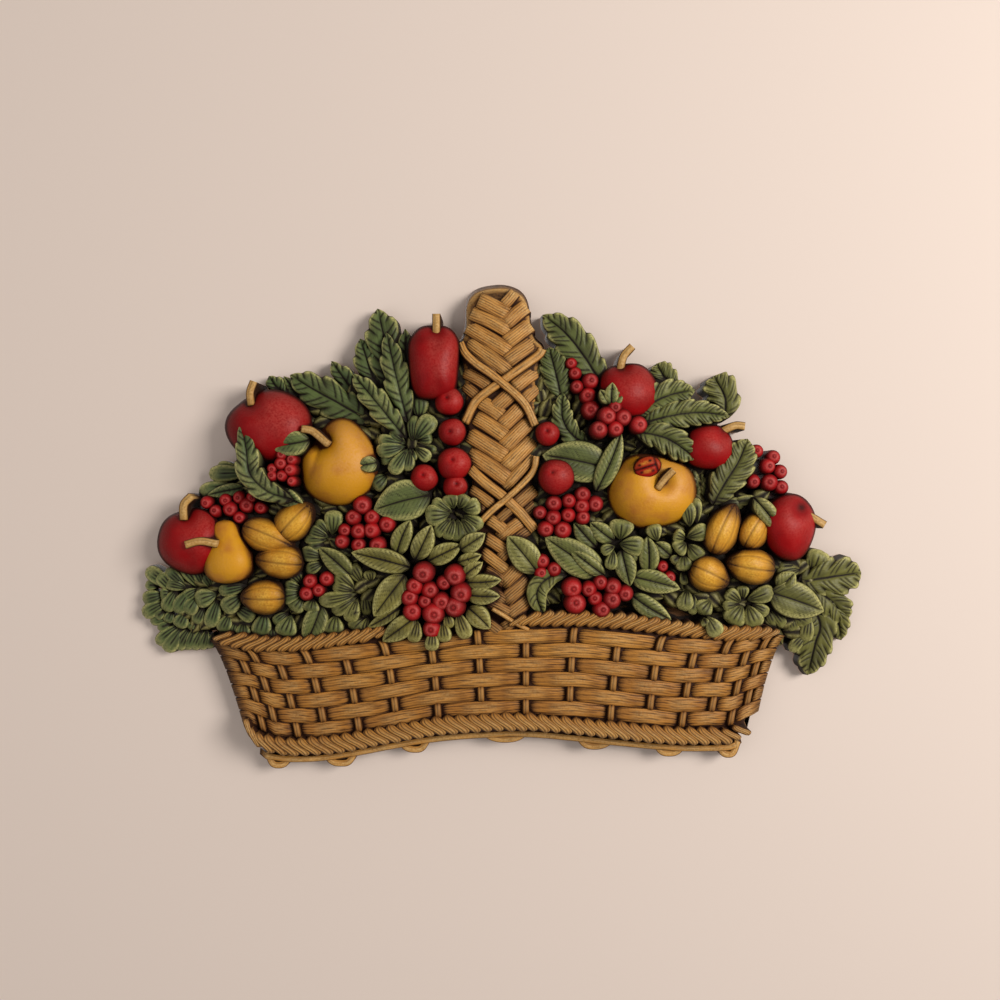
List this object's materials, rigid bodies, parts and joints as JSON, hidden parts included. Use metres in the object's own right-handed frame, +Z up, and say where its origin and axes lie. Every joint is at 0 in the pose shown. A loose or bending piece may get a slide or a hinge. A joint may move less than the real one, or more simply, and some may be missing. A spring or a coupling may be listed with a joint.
{
  "type": "wall plaque",
  "caption": "Moulded relief wall plaque of a wicker basket with a plaited handle, heaped with painted apples, pears, nuts, berries and leaves, flat at the back.",
  "frame": {"origin": "on the flat back, where the wall touches it, behind the handle near its top", "axes": "+X to the right along the basket, +Y into the wall, +Z up along the handle"},
  "size_m": [0.5846, 0.0521, 0.3922],
  "materials": {
    "painted_resin": "hand-painted moulded resin with a dark brown antiquing wash in the hollows and a low satin sheen"
  },
  "bodies": {
    "root": {"basket_plaque": "painted_resin"}
  },
  "joints": []
}
